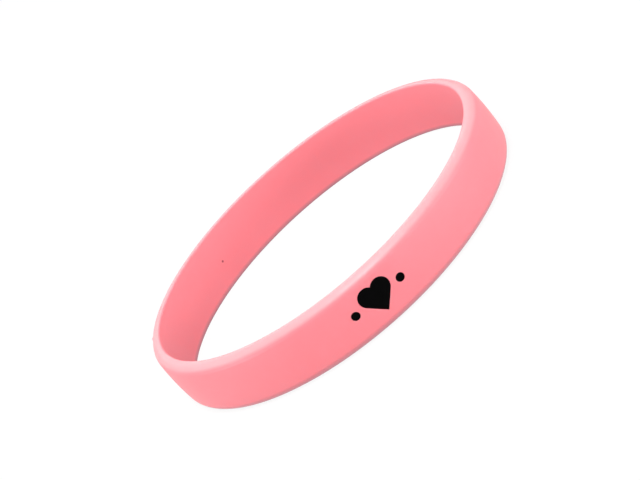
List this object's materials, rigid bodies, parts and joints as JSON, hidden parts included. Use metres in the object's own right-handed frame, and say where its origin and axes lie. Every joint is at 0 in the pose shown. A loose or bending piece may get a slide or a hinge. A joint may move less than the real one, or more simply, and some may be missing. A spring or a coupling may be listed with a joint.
{
  "type": "silicone wristband",
  "caption": "Moulded pink silicone wristband: a closed ring with soft outer corners and a black ink heart and dots inlaid flush on its front.",
  "frame": {"origin": "centre of the circle that the lower rim rests on", "axes": "+Z along the band's axis, up from the surface it lies on; the ink motif faces -Y"},
  "size_m": [0.0688, 0.0688, 0.0101],
  "materials": {
    "silicone": "matte pink moulded silicone",
    "ink": "matte black cured silicone ink"
  },
  "bodies": {
    "root": {"silicone_band": "silicone", "ink_heart": "ink", "ink_dot_left": "ink", "ink_dot_right": "ink"}
  },
  "joints": []
}
